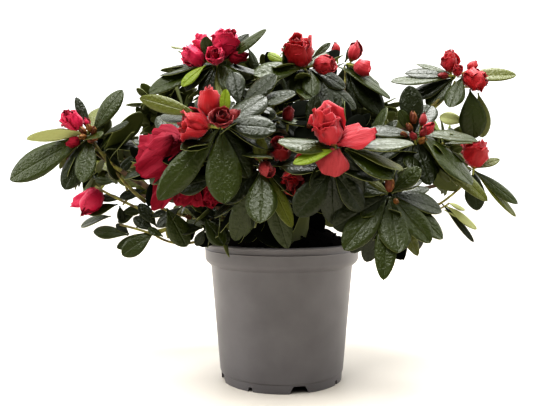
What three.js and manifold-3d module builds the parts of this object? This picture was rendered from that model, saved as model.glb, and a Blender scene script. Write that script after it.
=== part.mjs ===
// A pot azalea: an evergreen garden shrub in flower, in the round grey plastic pot that it is sold in.
// Millimetres, +Z up, the origin under the middle of the pot on the level that it stands on.
// The shrub is a short forked trunk, its boughs and side limbs, and the masses of foliage that they carry.

import * as THREE from "three";
import { mergeVertices } from "three/addons/utils/BufferGeometryUtils.js";
import Module from "manifold-3d";

const wasm = await Module();
wasm.setup();

// ---- driving dimensions ----

const GAP = 0.3; // left between two pieces that touch

const POT_HEIGHT = 112;
const LIP_RADIUS = 65; // the turned-out lip, a 13 cm pot
const LIP_THICKNESS = 2.4;
const BAND_RADIUS = 62.6; // the straight band under the lip
const BAND_HEIGHT = 17.5; // lip included
const BEAD_DROP = 6.3; // the fine bead round the band, below the top of the lip
const BEAD_RELIEF = 0.6;
const WAIST_RADIUS = 57.9; // the body just under the band
const HEEL_RADIUS = 50.6; // the body just above the foot
const FOOT_RADIUS = 49.4;
const FOOT_HEIGHT = 7;
const WALL = 1.2;
const FLOOR_HEIGHT = 3; // the pot's floor stands clear of the table on its foot
const POT_SIDES = 30; // the root ball has as many, so that their flats face each other

const SLOT_COUNT = 8; // drain slots through the foot, wide and narrow in turn
const SLOT_TURN = 16; // degrees from the front to the first wide slot
const WIDE_SLOT = { foot: 17, top: 9, height: 5.8 };
const NARROW_SLOT = { foot: 4.4, top: 3, height: 3.4 };
const SLOT_DEPTH = 7; // how far a slot runs in from the foot's face

const ROOT_BALL_TOP = 124; // the peat ball stands up above the lip
const ROOT_BALL_EDGE = 104;
const ROOT_BALL_SEAT = 22; // radius of the level place under the trunk

const TRUNK_FOOT = [7, 2]; // a little off the pot's axis
const TRUNK_HEIGHT = 27; // up to the fork
const TRUNK_LEAN = [7, -2]; // how far the fork stands to the side of the foot
const TRUNK_FLARE = 11;
const TRUNK_RADIUS = 6.2;
const TRUNK_SIDES = 10;
const LIMB_SIDES = 6;
const LIMB_STEPS = 4;
const LIMB_SWAY = 0.06; // how far a limb's middle strays sideways, as a share of its length

const MASS_DETAIL = 2; // subdivisions of the icosahedron that a foliage mass starts from
const UNEVENNESS = 0.2; // how far its surface strays from an ellipsoid, as a share of its size

// ---- helpers ----

function merged(geometry) {
  const bare = geometry.clone();
  bare.deleteAttribute("normal");
  bare.deleteAttribute("uv");
  return mergeVertices(bare, 1e-4);
}

function toSolid(geometry) {
  const closed = merged(geometry);
  return new wasm.Manifold(
    new wasm.Mesh({
      numProp: 3,
      vertProperties: closed.attributes.position.array,
      triVerts: new Uint32Array(closed.index.array),
    }),
  );
}

function toGeometry(solid) {
  const mesh = solid.getMesh();
  const geometry = new THREE.BufferGeometry();
  geometry.setAttribute("position", new THREE.BufferAttribute(mesh.vertProperties, 3));
  geometry.setIndex(new THREE.BufferAttribute(mesh.triVerts, 1));
  return geometry;
}

// The largest piece that a cut leaves.
function largest(solid) {
  return solid.decompose().sort((a, b) => b.volume() - a.volume())[0];
}

function turned(profile, sides) {
  const points = profile.map(([radius, height]) => new THREE.Vector2(radius, height));
  return new THREE.LatheGeometry(points, sides).rotateX(Math.PI / 2);
}

// ---- pot: one injection-moulded cup with a banded rim and a slotted foot ----

function potProfile() {
  const bandFoot = POT_HEIGHT - BAND_HEIGHT;
  const bead = POT_HEIGHT - BEAD_DROP;
  const lipFoot = POT_HEIGHT - LIP_THICKNESS;
  const floorTop = FLOOR_HEIGHT + WALL;
  const outside = [
    [0, FLOOR_HEIGHT],
    [FOOT_RADIUS - 2 * WALL, FLOOR_HEIGHT],
    [FOOT_RADIUS - 1.5 * WALL, 0],
    [FOOT_RADIUS, 0],
    [FOOT_RADIUS + 0.5, FOOT_HEIGHT],
    [HEEL_RADIUS, FOOT_HEIGHT + 0.5],
    [WAIST_RADIUS, bandFoot - 1.5],
    [WAIST_RADIUS + 1.5, bandFoot - 0.5],
    [BAND_RADIUS - 1, bandFoot + 1.5],
    [BAND_RADIUS, bandFoot + 4],
    [BAND_RADIUS, bead - BEAD_RELIEF],
    [BAND_RADIUS + BEAD_RELIEF, bead],
    [BAND_RADIUS, bead + BEAD_RELIEF],
    [BAND_RADIUS, lipFoot],
    [LIP_RADIUS, lipFoot + 0.5],
    [LIP_RADIUS, POT_HEIGHT - 0.5],
  ];
  const inside = [
    [LIP_RADIUS - 0.6, POT_HEIGHT],
    [BAND_RADIUS - 0.4, POT_HEIGHT],
    [BAND_RADIUS - WALL, lipFoot],
    [BAND_RADIUS - WALL, bandFoot + 4],
    [WAIST_RADIUS - WALL, bandFoot],
    [HEEL_RADIUS - WALL, FOOT_HEIGHT + 0.5],
    [HEEL_RADIUS - 2 * WALL, floorTop],
    [0, floorTop],
  ];
  return [...outside, ...inside];
}

// A wedge that cuts one drain slot, on the side that faces the front before it is turned.
function slotCutter({ foot, top, height }, angle) {
  const outline = new THREE.Shape([
    new THREE.Vector2(-foot / 2, -1),
    new THREE.Vector2(foot / 2, -1),
    new THREE.Vector2(top / 2, height),
    new THREE.Vector2(-top / 2, height),
  ]);
  const cutter = new THREE.ExtrudeGeometry(outline, { depth: SLOT_DEPTH + 4, bevelEnabled: false });
  cutter.rotateX(Math.PI / 2);
  cutter.translate(0, -(FOOT_RADIUS - SLOT_DEPTH), 0);
  cutter.rotateZ(THREE.MathUtils.degToRad(angle));
  return toSolid(cutter);
}

function pot() {
  let body = toSolid(turned(potProfile(), POT_SIDES));
  for (let i = 0; i < SLOT_COUNT; i++) {
    const slot = i % 2 ? NARROW_SLOT : WIDE_SLOT;
    body = body.subtract(slotCutter(slot, SLOT_TURN + (i * 360) / SLOT_COUNT));
  }
  return body;
}

// ---- root ball: the peat that fills the pot and domes up above its lip ----

function rootBall() {
  const wallGap = WALL + GAP;
  const bandFoot = POT_HEIGHT - BAND_HEIGHT;
  const dome = [0.7, 0.35].map((out) => [
    ROOT_BALL_SEAT + (BAND_RADIUS - wallGap - ROOT_BALL_SEAT) * out,
    ROOT_BALL_TOP - (ROOT_BALL_TOP - ROOT_BALL_EDGE) * out ** 1.7,
  ]);
  return toSolid(
    turned(
      [
        [0, FLOOR_HEIGHT + WALL + GAP],
        [HEEL_RADIUS - WALL - wallGap, FLOOR_HEIGHT + WALL + GAP],
        [HEEL_RADIUS - wallGap, FOOT_HEIGHT + 1],
        [WAIST_RADIUS - wallGap - 0.1, bandFoot + 0.2],
        [BAND_RADIUS - wallGap, bandFoot + 4.6],
        [BAND_RADIUS - wallGap, ROOT_BALL_EDGE],
        ...dome,
        [ROOT_BALL_SEAT, ROOT_BALL_TOP],
        [0, ROOT_BALL_TOP],
      ],
      POT_SIDES,
    ),
  );
}

// ---- limbs: a straight tapering lathe, bent along a curve ----

// Moves a solid that stands along Z from 0 to the curve's length onto that curve.
function bentAlong(geometry, curve) {
  const length = curve.getLength();
  const place = geometry.attributes.position;
  const level = new THREE.Vector3(0.6, 0.8, 0);
  for (let i = 0; i < place.count; i++) {
    const along = THREE.MathUtils.clamp(place.getZ(i) / length, 0, 1);
    const forward = curve.getTangentAt(along);
    const side = new THREE.Vector3().crossVectors(level, forward).normalize();
    const over = new THREE.Vector3().crossVectors(forward, side);
    const point = curve.getPointAt(along);
    point.addScaledVector(side, place.getX(i)).addScaledVector(over, place.getY(i));
    place.setXYZ(i, point.x, point.y, point.z);
  }
  return geometry;
}

function limb(curve, thick, thin, extra = 0) {
  const length = curve.getLength();
  const profile = [[0, 0]];
  for (let i = 0; i <= LIMB_STEPS; i++) {
    const along = i / LIMB_STEPS;
    profile.push([THREE.MathUtils.lerp(thick, thin, along) + extra, along * length]);
  }
  profile.push([0, length]);
  return toSolid(bentAlong(turned(profile, LIMB_SIDES), curve));
}

// The middle of the trunk at a share of the height of its fork.
function trunkAt(up) {
  const lean = Math.max(up, 0) ** 1.4;
  return new THREE.Vector3(
    TRUNK_FOOT[0] + TRUNK_LEAN[0] * lean,
    TRUNK_FOOT[1] + TRUNK_LEAN[1] * lean,
    ROOT_BALL_TOP + GAP + TRUNK_HEIGHT * up,
  );
}

// The trunk flares where its roots spread, and thickens a little at the fork.
function trunk(extra = 0) {
  const profile = [
    [0, 0],
    [TRUNK_FLARE, 0],
    [TRUNK_FLARE * 0.82, 0.12],
    [TRUNK_RADIUS * 1.08, 0.35],
    [TRUNK_RADIUS, 0.7],
    [TRUNK_RADIUS * 1.12, 1],
    [TRUNK_RADIUS * 0.8, 1.15],
    [0, 1.2],
  ].map(([radius, up]) => [radius && radius + extra, up > 1 ? up + extra / TRUNK_HEIGHT : up]);
  const geometry = turned(profile, TRUNK_SIDES);
  const place = geometry.attributes.position;
  for (let i = 0; i < place.count; i++) {
    const up = place.getZ(i);
    const ridge = 1 + 0.1 * Math.sin(3 * Math.atan2(place.getY(i), place.getX(i)) + 2 * up);
    const middle = trunkAt(up);
    place.setXYZ(i, middle.x + place.getX(i) * ridge, middle.y + place.getY(i) * ridge, middle.z);
  }
  return toSolid(geometry);
}

// ---- foliage: where each mass of leaves sits, and half its width, depth and height ----

const MASSES = {
  left_tip: { at: [-153, -42, 191], half: [48, 40, 38] },
  left_low: { at: [-146, 12, 150], half: [28, 28, 21] },
  left_spray: { at: [-122, -8, 121], half: [33, 28, 19] },
  left_bloom: { at: [-87, -84, 170], half: [25, 28, 27] },
  front_left: { at: [-44, -123, 185], half: [34, 35, 36] },
  top_left: { at: [-54, -40, 247], half: [44, 42, 25] },
  top_middle: { at: [16, -46, 243], half: [35, 38, 29] },
  top_right: { at: [62, 4, 243], half: [26, 35, 30] },
  middle: { at: [-13, -90, 211], half: [28, 29, 20] },
  front_middle: { at: [-17, -112, 151], half: [27, 30, 33] },
  front_right: { at: [31, -122, 188], half: [36, 36, 28] },
  front_low_right: { at: [68, -112, 141], half: [36, 36, 36] },
  right: { at: [110, -55, 192], half: [39, 38, 35] },
  right_top: { at: [147, 28, 236], half: [53, 40, 36] },
  right_tip: { at: [170, 16, 166], half: [30, 33, 31] },
  right_low: { at: [131, 30, 130], half: [31, 32, 23] },
  front_low_left: { at: [-53, -58, 132], half: [29, 29, 22] },
  back_left_top: { at: [-102, 50, 222], half: [34, 40, 24] },
  back_right_top: { at: [80, 72, 219], half: [33, 36, 26] },
  back_top: { at: [-10, 56, 246], half: [44, 42, 27] },
  back_left: { at: [-96, 114, 186], half: [43, 42, 34] },
  back_middle: { at: [-4, 118, 206], half: [44, 40, 32] },
  back_right: { at: [84, 116, 178], half: [40, 40, 36] },
  back_low_left: { at: [-62, 104, 140], half: [36, 36, 26] },
  back_low_right: { at: [26, 116, 144], half: [38, 38, 28] },
  far_left: { at: [-160, 56, 182], half: [37, 36, 30] },
  far_right: { at: [146, 84, 184], half: [35, 36, 32] },
};

// An ellipsoid with a lumpy surface of its own, made to fill its box exactly.
function foliage({ at, half }, number, extra = 0) {
  const geometry = merged(new THREE.IcosahedronGeometry(1, MASS_DETAIL));
  const place = geometry.attributes.position;
  const spot = new THREE.Vector3();
  for (let i = 0; i < place.count; i++) {
    spot.fromBufferAttribute(place, i);
    const waves =
      Math.sin(4.1 * spot.x + 1.7 * number) +
      Math.sin(4.7 * spot.y + 2.9 * number + 2 * spot.z) +
      Math.sin(5.3 * spot.z + 0.8 * number + 3 * spot.x);
    spot.multiplyScalar(1 + (UNEVENNESS * waves) / 3);
    place.setXYZ(i, spot.x, spot.y, spot.z);
  }
  geometry.computeBoundingBox();
  const { min, max } = geometry.boundingBox;
  const size = max.clone().sub(min).divideScalar(2);
  const middle = max.clone().add(min).divideScalar(2);
  geometry.translate(-middle.x, -middle.y, -middle.z);
  geometry.scale(...half.map((h, axis) => (h + extra) / size.getComponent(axis)));
  geometry.translate(...at);
  return toSolid(geometry);
}

// ---- boughs from the fork, and side limbs from the boughs, each ending in its own mass ----

// A bough leaves the trunk at a share of its height, a limb leaves its bough at a share of its length.
// rise is how far its middle is bowed up, thick and thin are the radii of its two ends.
const LIMBS = {
  bough_left: { from: ["trunk", 0.45], to: "left_tip", rise: -44, thick: 3.6, thin: 1.7 },
  bough_low_left: { from: ["trunk", 0.35], to: "left_spray", rise: -6, thick: 2.9, thin: 1.4 },
  bough_front_left: { from: ["trunk", 0.85], to: "front_left", rise: -8, thick: 3.4, thin: 1.8 },
  bough_top_left: { from: ["trunk", 1], to: "top_left", rise: 10, thick: 3.8, thin: 2 },
  bough_top_middle: { from: ["trunk", 1], to: "top_middle", rise: 14, thick: 3.6, thin: 2 },
  bough_front_right: { from: ["trunk", 0.8], to: "front_right", rise: -6, thick: 3.4, thin: 1.8 },
  bough_right: { from: ["trunk", 0.9], to: "right", rise: -8, thick: 3.4, thin: 1.8 },
  bough_right_top: { from: ["trunk", 1], to: "right_top", rise: -6, thick: 3.8, thin: 1.9 },
  bough_right_low: { from: ["trunk", 0.6], to: "right_low", rise: 4, thick: 3, thin: 1.6 },
  bough_back_right: { from: ["trunk", 0.8], to: "back_right", rise: -6, thick: 3.5, thin: 1.8 },
  bough_back: { from: ["trunk", 1], to: "back_middle", rise: -4, thick: 3.6, thin: 1.9 },
  bough_back_left: { from: ["trunk", 0.75], to: "back_left", rise: -10, thick: 3.5, thin: 1.8 },
  limb_left_low: { from: ["bough_left", 0.5], to: "left_low", rise: 2, thick: 2, thin: 1.3 },
  limb_left_bloom: { from: ["bough_left", 0.45], to: "left_bloom", rise: 8, thick: 2.1, thin: 1.5 },
  limb_front_low_left: {
    from: ["bough_front_left", 0.25],
    to: "front_low_left",
    rise: 3,
    thick: 2,
    thin: 1.4,
  },
  limb_middle: { from: ["bough_top_middle", 0.35], to: "middle", rise: 4, thick: 2, thin: 1.5 },
  limb_front_middle: {
    from: ["bough_front_right", 0.3],
    to: "front_middle",
    rise: 2,
    thick: 2.1,
    thin: 1.5,
  },
  limb_front_low_right: {
    from: ["bough_right", 0.25],
    to: "front_low_right",
    rise: 5,
    thick: 2.2,
    thin: 1.5,
  },
  limb_top_right: { from: ["bough_top_middle", 0.4], to: "top_right", rise: 5, thick: 2.2, thin: 1.5 },
  limb_right_tip: { from: ["bough_right_low", 0.45], to: "right_tip", rise: 4, thick: 2, thin: 1.4 },
  limb_back_left_top: {
    from: ["bough_top_left", 0.4],
    to: "back_left_top",
    rise: 6,
    thick: 2.2,
    thin: 1.5,
  },
  limb_back_right_top: {
    from: ["bough_right_top", 0.4],
    to: "back_right_top",
    rise: 4,
    thick: 2.1,
    thin: 1.5,
  },
  limb_back_top: { from: ["bough_top_left", 0.35], to: "back_top", rise: 6, thick: 2.2, thin: 1.5 },
  limb_back_low_left: {
    from: ["bough_back_left", 0.35],
    to: "back_low_left",
    rise: 3,
    thick: 2.1,
    thin: 1.5,
  },
  limb_back_low_right: {
    from: ["bough_back_right", 0.3],
    to: "back_low_right",
    rise: 3,
    thick: 2.1,
    thin: 1.5,
  },
  limb_far_left: { from: ["bough_back_left", 0.4], to: "far_left", rise: -4, thick: 2, thin: 1.4 },
  limb_far_right: { from: ["bough_back_right", 0.4], to: "far_right", rise: -4, thick: 2, thin: 1.4 },
};

// Each limb's curve, from the middle of what it grows on to the heart of its mass.
function limbCurves() {
  const curves = {};
  Object.entries(LIMBS).forEach(([name, { from, to, rise }], number) => {
    const [parent, share] = from;
    const start = parent === "trunk" ? trunkAt(share) : curves[parent].getPointAt(share);
    const heart = new THREE.Vector3(...MASSES[to].at);
    const bow = start.clone().lerp(heart, 0.5);
    const sway = LIMB_SWAY * Math.sin(2.4 * number);
    bow.x -= sway * (heart.y - start.y);
    bow.y += sway * (heart.x - start.x);
    bow.z += rise;
    curves[name] = new THREE.QuadraticBezierCurve3(start, bow, heart);
  });
  return curves;
}

// ---- the whole plant ----

const FINISHES = {
  pot: { color: 0x6b6764, roughness: 0.55, metalness: 0 },
  peat: { color: 0x241a12, roughness: 0.95, metalness: 0 },
  bark: { color: 0x5a4630, roughness: 0.85, metalness: 0 },
  leaf: { color: 0x2f4a23, roughness: 0.5, metalness: 0 },
};

const finishes = Object.fromEntries(
  Object.entries(FINISHES).map(([name, look]) => [name, new THREE.MeshStandardMaterial(look)]),
);

function piece(name, solid, finish) {
  const mesh = new THREE.Mesh(toGeometry(solid), finishes[finish]);
  mesh.name = name;
  return mesh;
}

const azalea = new THREE.Group();
azalea.add(piece("pot", pot(), "pot"));
azalea.add(piece("root_ball", rootBall(), "peat"));
azalea.add(piece("trunk", trunk(), "bark"));

// Each mass is cut round those before it.
const massNames = Object.keys(MASSES);
const around = massNames.map((name, number) => foliage(MASSES[name], number, GAP));
massNames.forEach((name, number) => {
  let mass = foliage(MASSES[name], number);
  around.slice(0, number).forEach((other) => {
    mass = mass.subtract(other);
  });
  azalea.add(piece(`foliage_${name}`, largest(mass), "leaf"));
});

// Each limb ends where it enters a mass, and starts at the face of what it grows on.
const curves = limbCurves();
const grown = [trunk(GAP)];
for (const [name, { thick, thin }] of Object.entries(LIMBS)) {
  let wood = limb(curves[name], thick, thin);
  [...grown, ...around].forEach((other) => {
    wood = wood.subtract(other);
  });
  azalea.add(piece(name, largest(wood), "bark"));
  grown.push(limb(curves[name], thick, thin, GAP));
}

export default azalea;
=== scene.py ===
"""An azalea in leaf and flower, in the round grey pot it is sold in. Sizes are in millimetres until a
mesh is made; x runs to the right, y to the back and z up, with the pot's middle at the origin."""

import math

import bmesh
import bpy
import numpy as np
from mathutils import Matrix, Vector, noise


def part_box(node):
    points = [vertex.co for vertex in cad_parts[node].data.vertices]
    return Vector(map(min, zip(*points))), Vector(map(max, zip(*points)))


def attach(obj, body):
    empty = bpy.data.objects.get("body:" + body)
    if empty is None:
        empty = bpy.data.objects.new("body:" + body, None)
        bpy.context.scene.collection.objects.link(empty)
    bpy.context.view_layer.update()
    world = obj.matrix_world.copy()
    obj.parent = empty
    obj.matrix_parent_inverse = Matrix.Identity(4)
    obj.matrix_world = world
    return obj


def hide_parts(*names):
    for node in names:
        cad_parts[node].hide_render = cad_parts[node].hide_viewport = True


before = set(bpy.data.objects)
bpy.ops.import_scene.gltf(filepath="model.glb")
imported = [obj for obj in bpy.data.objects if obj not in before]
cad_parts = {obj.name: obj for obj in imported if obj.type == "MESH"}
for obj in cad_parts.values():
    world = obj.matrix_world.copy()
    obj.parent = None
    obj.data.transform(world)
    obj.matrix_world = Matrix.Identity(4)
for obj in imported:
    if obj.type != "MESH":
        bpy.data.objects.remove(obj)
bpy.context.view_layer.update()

# ---- Pot ----
# A thin cup injection-moulded in recycled grey polypropylene: a small turned-out lip, a straight band
# with one fine bead, a tapering wall, and a foot ring that eight drain slots notch.

MM = 0.001
pot_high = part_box("pot")[1]
POT_HEIGHT = pot_high.z / MM
LIP_RADIUS = pot_high.x / MM
LIP_THICKNESS = 2.4
BAND_RADIUS = LIP_RADIUS - 2.4
BAND_FOOT = POT_HEIGHT - 17.5
BEAD = POT_HEIGHT - 6.3
BEAD_RELIEF = 0.5
WAIST_RADIUS = LIP_RADIUS - 7.1
HEEL_RADIUS = LIP_RADIUS - 14.4
FOOT_RADIUS = LIP_RADIUS - 15.6
FOOT_HEIGHT = 7
WALL = 1.2
FLOOR_HEIGHT = 3
POT_STEPS = 128
EDGE_ROUND = 0.35
HARD_EDGE = 0.5  # radians; edges that bend more than this are rounded

SLOT_COUNT = 8
SLOT_TURN = 16
WIDE_SLOT = (17, 9, 5.8)  # width at the foot, width at its top, height
NARROW_SLOT = (4.4, 3, 3.4)
SLOT_DEPTH = 7


def spun(profile, steps):
    """A closed body turned round the z axis from (radius, height) points that run from axis to axis."""
    bm = bmesh.new()
    corners = [bm.verts.new((radius, 0, height)) for radius, height in profile]
    for first, second in zip(corners, corners[1:]):
        bm.edges.new((first, second))
    bmesh.ops.spin(bm, geom=bm.verts[:] + bm.edges[:], cent=(0, 0, 0), axis=(0, 0, 1),
                   angle=2 * math.pi, steps=steps, use_merge=True)
    bmesh.ops.remove_doubles(bm, verts=bm.verts[:], dist=1e-4)
    bmesh.ops.recalc_face_normals(bm, faces=bm.faces[:])
    return bm


def placed(name, data):
    """An object of that mesh, lamp or camera, in the scene."""
    thing = bpy.data.objects.new(name, data)
    bpy.context.collection.objects.link(thing)
    return thing


def made(name, bm, material, smooth=40):
    """A bmesh in millimetres as a piece of the model, shaded smooth up to that many degrees."""
    bmesh.ops.scale(bm, vec=(MM, MM, MM), verts=bm.verts[:])
    mesh = bpy.data.meshes.new(name)
    bm.to_mesh(mesh)
    bm.free()
    mesh.materials.append(material)
    mesh.shade_smooth()
    mesh.set_sharp_from_angle(angle=math.radians(smooth))
    return placed(name, mesh)


def finish_of(name, colour, roughness, **sockets):
    """A material with one plain colour in 0-255 screen values; other sockets by name, _ for a space."""
    material = bpy.data.materials.new(name)
    material.use_nodes = True
    shader = material.node_tree.nodes["Principled BSDF"]
    shader.inputs["Base Color"].default_value = (*((np.array(colour) / 255) ** 2.2), 1)
    shader.inputs["Roughness"].default_value = roughness
    for socket, value in sockets.items():
        shader.inputs[socket.replace("_", " ")].default_value = value
    return material


def add_node(owner, kind, inputs=(), **settings):
    """A new node in a material or world. inputs are (input, socket or value) pairs; settings are its
    properties or, with a capital, its inputs by name."""
    node = owner.node_tree.nodes.new(kind)
    for key, value in settings.items():
        if key[0].isupper():
            node.inputs[key.replace("_", " ")].default_value = value
        else:
            setattr(node, key, value)
    for place, value in inputs:
        if isinstance(value, bpy.types.NodeSocket):
            owner.node_tree.links.new(value, node.inputs[place])
        else:
            node.inputs[place].default_value = value
    return node


def relief(material, height, distance, strength=1.0):
    """Bumps the material's surface by a height socket, in millimetres at full strength."""
    bump = add_node(material, "ShaderNodeBump", [("Height", height)], Distance=distance * MM,
                    Strength=strength)
    shader = material.node_tree.nodes["Principled BSDF"]
    material.node_tree.links.new(bump.outputs[0], shader.inputs["Normal"])


def grained(material, scale, detail, distance, strength=1.0, space="Object", stretch=None):
    """Bumps the material's surface by fine noise, stretched by three factors where they are given."""
    where = add_node(material, "ShaderNodeTexCoord").outputs[space]
    if stretch:
        where = add_node(material, "ShaderNodeMapping", [("Vector", where)], Scale=stretch).outputs[0]
    grain = add_node(material, "ShaderNodeTexNoise", [("Vector", where)], Scale=scale, Detail=detail)
    relief(material, grain.outputs["Fac"], distance, strength)


def blotches(material, size, detail, ramp):
    """Mixes colours over the surface by noise with spots of that size; ramp is (place, colour) pairs."""
    where = add_node(material, "ShaderNodeTexCoord").outputs["Object"]
    spots = add_node(material, "ShaderNodeTexNoise", [("Vector", where)], Scale=1 / (size * MM),
                     Detail=detail)
    colours = add_node(material, "ShaderNodeValToRGB", [("Fac", spots.outputs["Fac"])])
    stops = colours.color_ramp.elements
    for stop, (place, colour) in zip(stops, ramp):
        stop.position = place
        stop.color = (*((np.array(colour) / 255) ** 2.2), 1)
    shader = material.node_tree.nodes["Principled BSDF"]
    material.node_tree.links.new(colours.outputs["Color"], shader.inputs["Base Color"])


def pot_profile():
    lip_foot = POT_HEIGHT - LIP_THICKNESS
    floor_top = FLOOR_HEIGHT + WALL
    outside = [
        (0, FLOOR_HEIGHT), (FOOT_RADIUS - 2 * WALL, FLOOR_HEIGHT), (FOOT_RADIUS - 1.5 * WALL, 0),
        (FOOT_RADIUS, 0), (FOOT_RADIUS + 0.5, FOOT_HEIGHT), (HEEL_RADIUS, FOOT_HEIGHT + 0.5),
        (WAIST_RADIUS, BAND_FOOT - 1.5), (WAIST_RADIUS + 1.5, BAND_FOOT - 0.5),
        (BAND_RADIUS - 1, BAND_FOOT + 1.5), (BAND_RADIUS, BAND_FOOT + 4),
        (BAND_RADIUS, BEAD - BEAD_RELIEF), (BAND_RADIUS + BEAD_RELIEF, BEAD),
        (BAND_RADIUS, BEAD + BEAD_RELIEF), (BAND_RADIUS, lip_foot), (LIP_RADIUS, lip_foot + 0.5),
        (LIP_RADIUS, POT_HEIGHT - 0.5),
    ]
    inside = [
        (LIP_RADIUS - 0.6, POT_HEIGHT), (BAND_RADIUS - 0.4, POT_HEIGHT),
        (BAND_RADIUS - WALL, lip_foot), (BAND_RADIUS - WALL, BAND_FOOT + 4),
        (WAIST_RADIUS - WALL, BAND_FOOT), (HEEL_RADIUS - WALL, FOOT_HEIGHT + 0.5),
        (HEEL_RADIUS - 2 * WALL, floor_top), (0, floor_top),
    ]
    return outside + inside


def slot_cutters():
    """One wedge for each drain slot, wide and narrow in turn, on the foot's ring."""
    bm = bmesh.new()
    for index in range(SLOT_COUNT):
        foot, top, height = NARROW_SLOT if index % 2 else WIDE_SLOT
        wedge = bmesh.ops.create_cube(bm, size=1)["verts"]
        for corner in wedge:
            upper = corner.co.z > 0
            corner.co.x *= top if upper else foot
            corner.co.y = corner.co.y * (SLOT_DEPTH + 4) - FOOT_RADIUS + SLOT_DEPTH / 2 - 2
            corner.co.z = height if upper else -1
        turn = Matrix.Rotation(math.radians(SLOT_TURN + index * 360 / SLOT_COUNT), 4, "Z")
        bmesh.ops.transform(bm, matrix=turn, verts=wedge)
    return bm


pot_plastic = finish_of("grey pot plastic", (101, 99, 100), 0.42)
blotches(pot_plastic, 26, 6, [(0.3, (96, 94, 96)), (0.72, (106, 104, 106))])
grained(pot_plastic, 1800, 3, 0.06, 0.5)

pot_shell = spun(pot_profile(), POT_STEPS)
hard_edges = [e for e in pot_shell.edges if e.is_manifold and e.calc_face_angle() > HARD_EDGE]
bmesh.ops.bevel(pot_shell, geom=hard_edges, offset=EDGE_ROUND, affect="EDGES", segments=2,
                profile=0.5, material=-1)
pot = made("pot_shell", pot_shell, pot_plastic)
cutters = made("slot_cutters", slot_cutters(), pot_plastic)
cut = pot.modifiers.new("slots", "BOOLEAN")
cut.object = cutters
cut.operation = "DIFFERENCE"
pot_cut = bpy.data.meshes.new_from_object(pot.evaluated_get(bpy.context.evaluated_depsgraph_get()))
pot.modifiers.clear()
pot.data = pot_cut
pot.data.set_sharp_from_angle(angle=math.radians(40))
bpy.data.objects.remove(cutters)
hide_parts("pot")
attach(pot, "root")

# ---- Root ball ----
# Dark fibrous peat that fills the pot and domes up round the stem. Its crumbs lie loose on the dome.

BALL_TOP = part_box("root_ball")[1].z / MM
BALL_EDGE = 104
BALL_SEAT = 22
BALL_STEPS = 96
DOME_RINGS = 26
CRUMB_COUNT = 520
dice = np.random.default_rng(11)


def dome_height(radius):
    """The peat's level at that distance from the pot's axis."""
    out = max(radius - BALL_SEAT, 0) / (BAND_RADIUS - WALL - 0.3 - BALL_SEAT)
    return BALL_TOP - (BALL_TOP - BALL_EDGE) * min(out, 1) ** 1.7


def ball_profile():
    inside = WALL + 0.4
    edge = BAND_RADIUS - inside
    reaches = [edge * (1 - step / DOME_RINGS) for step in range(DOME_RINGS)]
    dome = [(reach, dome_height(reach)) for reach in reaches]
    return [
        (0, FLOOR_HEIGHT + WALL + 0.3), (HEEL_RADIUS - WALL - inside, FLOOR_HEIGHT + WALL + 0.3),
        (HEEL_RADIUS - inside, FOOT_HEIGHT + 1.5), (WAIST_RADIUS - inside - 0.3, BAND_FOOT),
        (edge, BAND_FOOT + 4.6), *dome, (0, BALL_TOP),
    ]


peat = finish_of("potting peat", (16, 11, 7), 0.95, Specular_IOR_Level=0.15)
blotches(peat, 3, 5, [(0.35, (5, 3, 2)), (0.7, (28, 18, 11))])
grained(peat, 900, 6, 0.8)

ball = spun(ball_profile(), BALL_STEPS)
for corner in ball.verts:
    if corner.co.z > BALL_EDGE - 1 and corner.co.xy.length < BAND_RADIUS - WALL - 2:
        corner.co.z += 1.6 * noise.noise(corner.co / 5) + 1.2 * noise.noise(corner.co / 2)
for _ in range(CRUMB_COUNT):
    reach = (BAND_RADIUS - WALL - 3) * math.sqrt(dice.random())
    turn = dice.random() * 2 * math.pi
    size = 0.6 + 1.5 * dice.random() ** 2
    lump = bmesh.ops.create_icosphere(ball, subdivisions=1, radius=size)["verts"]
    for corner in lump:
        corner.co *= 0.75 + 0.5 * dice.random()
    squash = Matrix.Diagonal((1, 0.5 + 0.5 * dice.random(), 0.6, 1))
    spot = Vector((reach * math.cos(turn), reach * math.sin(turn), dome_height(reach) + size * 0.3))
    place = Matrix.Translation(spot) @ Matrix.Rotation(turn * 7, 4, "Z") @ squash
    bmesh.ops.transform(ball, matrix=place, verts=lump)
root_ball = made("peat_ball", ball, peat, 60)
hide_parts("root_ball")
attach(root_ball, "root")

# ---- Trunk and boughs ----
# One short forked stem and its limbs, hard wood under thin grey-brown bark that is ridged at the root
# flare. Each limb follows the line of its own solid, and runs on a little at both ends into what holds it.

BARK_SIDES = 12
BARK_RINGS = 22
LIMB_END = 4  # how much of a limb's end is averaged to find the end of its line
ROOTED = 5  # how far a limb runs back into what holds it
OVERRUN = 3  # and on past its tip, into the twigs


def shape_of(bm):
    """A bmesh as arrays: points, the corners of its faces, their counts, and which way each faces in z."""
    bm.verts.index_update()
    bm.normal_update()
    shape = {
        "points": np.array([v.co[:] for v in bm.verts]),
        "corners": np.array([v.index for f in bm.faces for v in f.verts]),
        "counts": np.array([len(f.verts) for f in bm.faces]),
        "facing": np.array([f.normal.z for f in bm.faces]),
    }
    bm.free()
    return shape


def tube_shape(sides, rings):
    """A closed round bar one unit long up the z axis and one in radius, cut into rings."""
    bm = bmesh.new()
    bmesh.ops.create_cone(bm, cap_ends=True, segments=sides, radius1=1, radius2=1, depth=1)
    bmesh.ops.translate(bm, verts=bm.verts[:], vec=(0, 0, 0.5))
    uprights = [e for e in bm.edges if abs(e.verts[0].co.z - e.verts[1].co.z) > 0.5]
    bmesh.ops.subdivide_edges(bm, edges=uprights, cuts=rings - 1)
    return shape_of(bm)


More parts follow.
